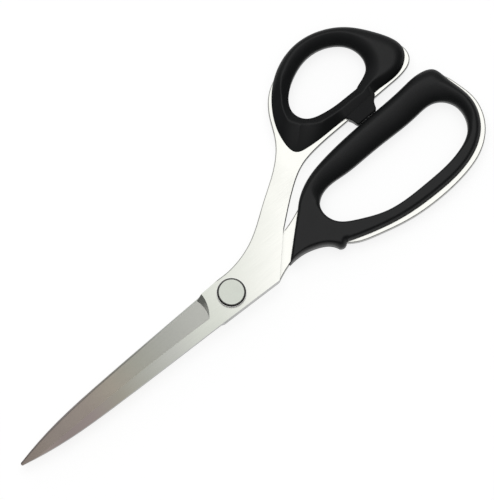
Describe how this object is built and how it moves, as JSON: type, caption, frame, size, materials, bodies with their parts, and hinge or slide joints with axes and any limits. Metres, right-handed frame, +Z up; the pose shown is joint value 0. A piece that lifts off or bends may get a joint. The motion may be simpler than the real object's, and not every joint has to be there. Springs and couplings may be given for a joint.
{
  "type": "fabric shears",
  "caption": "Bent-handle fabric shears with two ground steel blades on a pivot bolt, a knurled tension dial and soft moulded finger and thumb loops.",
  "frame": {"origin": "pivot axis at the underside of the bolt head, which is the plane the closed shears lie on", "axes": "+X along the closed cutting line to the tip, +Y towards the finger loop, +Z up the pivot axis through the tension dial"},
  "size_m": [0.2513, 0.0912, 0.0113],
  "materials": {
    "polished_steel": "bright polished stainless steel, ground on the bevels",
    "black_elastomer": "soft matt black moulding",
    "bolt_steel": "turned steel",
    "washer_nylon": "natural nylon",
    "bush_bronze": "plain bronze",
    "dial_nickel": "nickel plate, knurled",
    "dial_satin": "satin faced disc"
  },
  "bodies": {
    "finger_half": {"finger_blade": "polished_steel", "finger_grip": "black_elastomer", "pivot_bolt": "bolt_steel", "blade_washer": "washer_nylon", "spring_washer": "bolt_steel"},
    "thumb_half": {"thumb_blade": "polished_steel", "thumb_grip": "black_elastomer", "pivot_bush": "bush_bronze"},
    "tension_slide": {"keyed_washer": "bolt_steel"},
    "dial": {"tension_dial": "dial_nickel", "dial_lock_ring": "washer_nylon", "dial_cap": "dial_satin"}
  },
  "joints": [
    {"name": "blade_pivot", "type": "hinge", "parent": "finger_half", "child": "thumb_half", "pos_m": [0, 0, 0.0053], "axis": [0, 0, 1], "range_deg": [0, 75]},
    {"name": "tension_travel", "type": "slide", "parent": "finger_half", "child": "tension_slide", "axis": [0, 0, 1], "range_m": [-0.000125, 0.00025], "deforming": ["spring_washer"]},
    {"name": "dial_turn", "type": "hinge", "parent": "tension_slide", "child": "dial", "pos_m": [0, 0, 0.0102], "axis": [0, 0, 1], "range_deg": [-90, 180]}
  ],
  "couplings": [
    {"joint": "dial_turn", "follows": "tension_travel", "rad_per_m": 12566}
  ]
}
